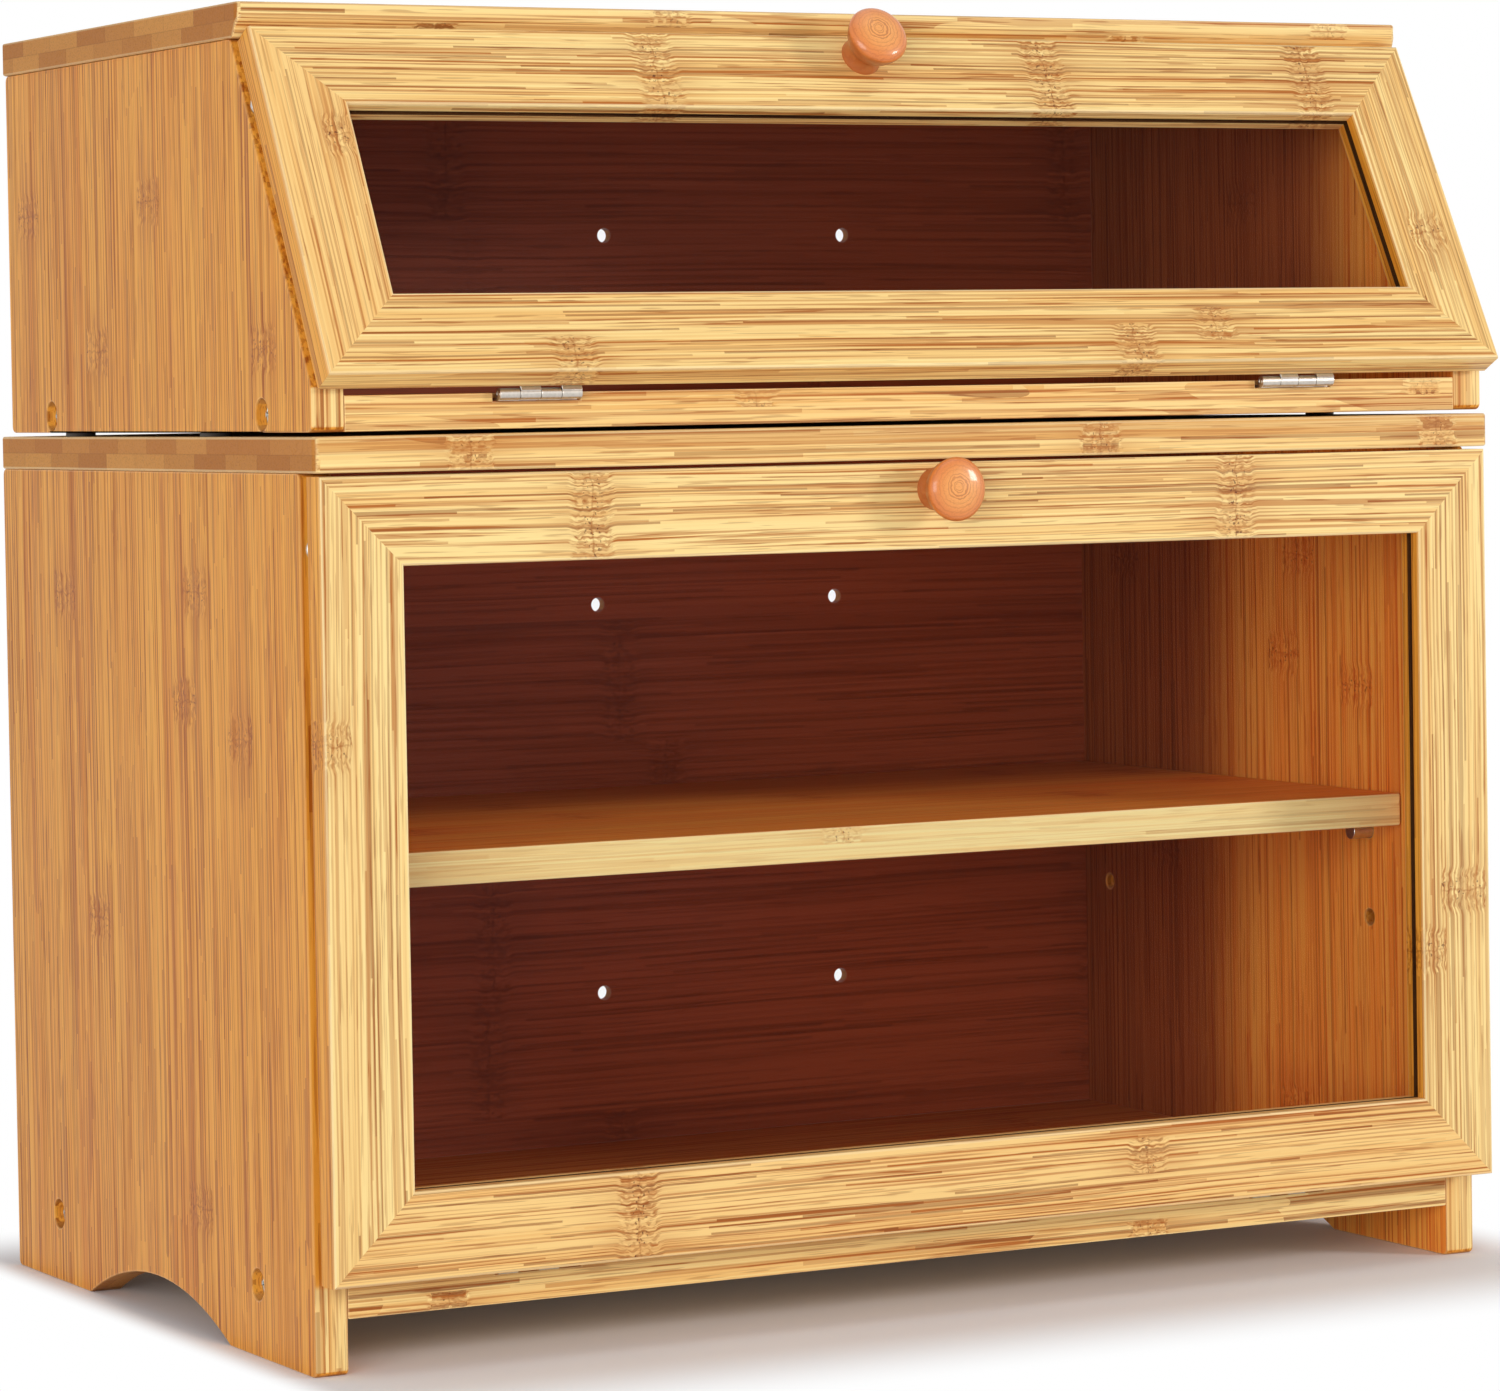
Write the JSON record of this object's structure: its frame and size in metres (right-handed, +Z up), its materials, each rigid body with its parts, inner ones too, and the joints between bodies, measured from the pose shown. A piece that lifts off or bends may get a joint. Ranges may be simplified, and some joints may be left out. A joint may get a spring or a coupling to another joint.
{
  "type": "bread box",
  "caption": "Two-tier bamboo bread box: tall lower cabinet with shelf and drop-down clear-paned door, and a sloping-front cabinet with its own door standing on top.",
  "frame": {"origin": "Under the middle of the whole object, on the surface it stands on: halfway across its width, and halfway from the tip of the lower door's knob to the back edges of the lower cabinet.", "axes": "+X to the right as seen from the front, along the width; the doors face -Y and the backs face +Y; +Z up."},
  "size_m": [0.3914, 0.26, 0.3819],
  "materials": {
    "bamboo_side": "satin, clear coated",
    "bamboo_door": "satin, clear coated",
    "bamboo_board": "satin, clear coated",
    "bamboo_inside": "satin, clear coated",
    "bamboo_panel": "satin, clear coated",
    "hidden_wood": "uncoated",
    "knob_wood": "glossy, clear coated",
    "clear_pane": "clear, polished",
    "bright_steel": "bright plated",
    "magnet": "nickel plated",
    "pad": "matte"
  },
  "bodies": {
    "lower_box": {"lower_left_side": "bamboo_side", "lower_right_side": "bamboo_side", "lower_bottom_board": "bamboo_inside", "lower_back_panel": "bamboo_panel", "deck_board": "bamboo_board", "lower_assembly_screws": "bright_steel", "deck_dowels": "hidden_wood", "shelf_pins": "bright_steel", "lower_catch_magnets": "magnet", "lower_left_hinge_leaf": "bright_steel", "lower_right_hinge_leaf": "bright_steel", "lower_left_hinge_pin": "bright_steel", "lower_right_hinge_pin": "bright_steel", "lower_hinge_screws": "bright_steel"},
    "shelf": {"shelf": "bamboo_inside"},
    "upper_box": {"upper_left_side": "bamboo_side", "upper_right_side": "bamboo_side", "upper_bottom_board": "bamboo_inside", "upper_back_panel": "bamboo_panel", "upper_assembly_screws": "bright_steel", "upper_catch_magnets": "magnet", "upper_left_hinge_leaf": "bright_steel", "upper_right_hinge_leaf": "bright_steel", "upper_left_hinge_pin": "bright_steel", "upper_right_hinge_pin": "bright_steel", "upper_hinge_screws": "bright_steel", "cap_board": "bamboo_board", "cap_dowels": "hidden_wood", "stacking_pads": "pad"},
    "lower_door": {"lower_door_left_stile": "bamboo_door", "lower_door_right_stile": "bamboo_door", "lower_door_top_rail": "bamboo_door", "lower_door_bottom_rail": "bamboo_door", "lower_door_mitre_keys": "hidden_wood", "lower_door_pane": "clear_pane", "lower_door_knob": "knob_wood", "lower_door_knob_screw": "bright_steel", "lower_door_catch_discs": "bright_steel", "lower_door_left_hinge_leaf": "bright_steel", "lower_door_right_hinge_leaf": "bright_steel", "lower_door_hinge_screws": "bright_steel"},
    "upper_door": {"upper_door_left_stile": "bamboo_door", "upper_door_right_stile": "bamboo_door", "upper_door_top_rail": "bamboo_door", "upper_door_bottom_rail": "bamboo_door", "upper_door_mitre_keys": "hidden_wood", "upper_door_pane": "clear_pane", "upper_door_knob": "knob_wood", "upper_door_knob_screw": "bright_steel", "upper_door_catch_discs": "bright_steel", "upper_door_left_hinge_leaf": "bright_steel", "upper_door_right_hinge_leaf": "bright_steel", "upper_door_hinge_screws": "bright_steel"}
  },
  "joints": [
    {"name": "lower_door_hinge", "type": "hinge", "parent": "lower_box", "child": "lower_door", "pos_m": [0, -0.10365, 0.02585], "axis": [1, 0, 0], "range_deg": [0, 89.5]},
    {"name": "upper_door_hinge", "type": "hinge", "parent": "upper_box", "child": "upper_door", "pos_m": [0, -0.11364, 0.27035], "axis": [1, 0, 0], "range_deg": [0, 115]},
    {"name": "shelf_lift", "type": "slide", "parent": "lower_box", "child": "shelf", "axis": [0, 0, 1], "range_m": [0, 0.1]},
    {"name": "upper_box_lift", "type": "slide", "parent": "lower_box", "child": "upper_box", "axis": [0, 0, 1], "range_m": [0, 0.05]}
  ]
}
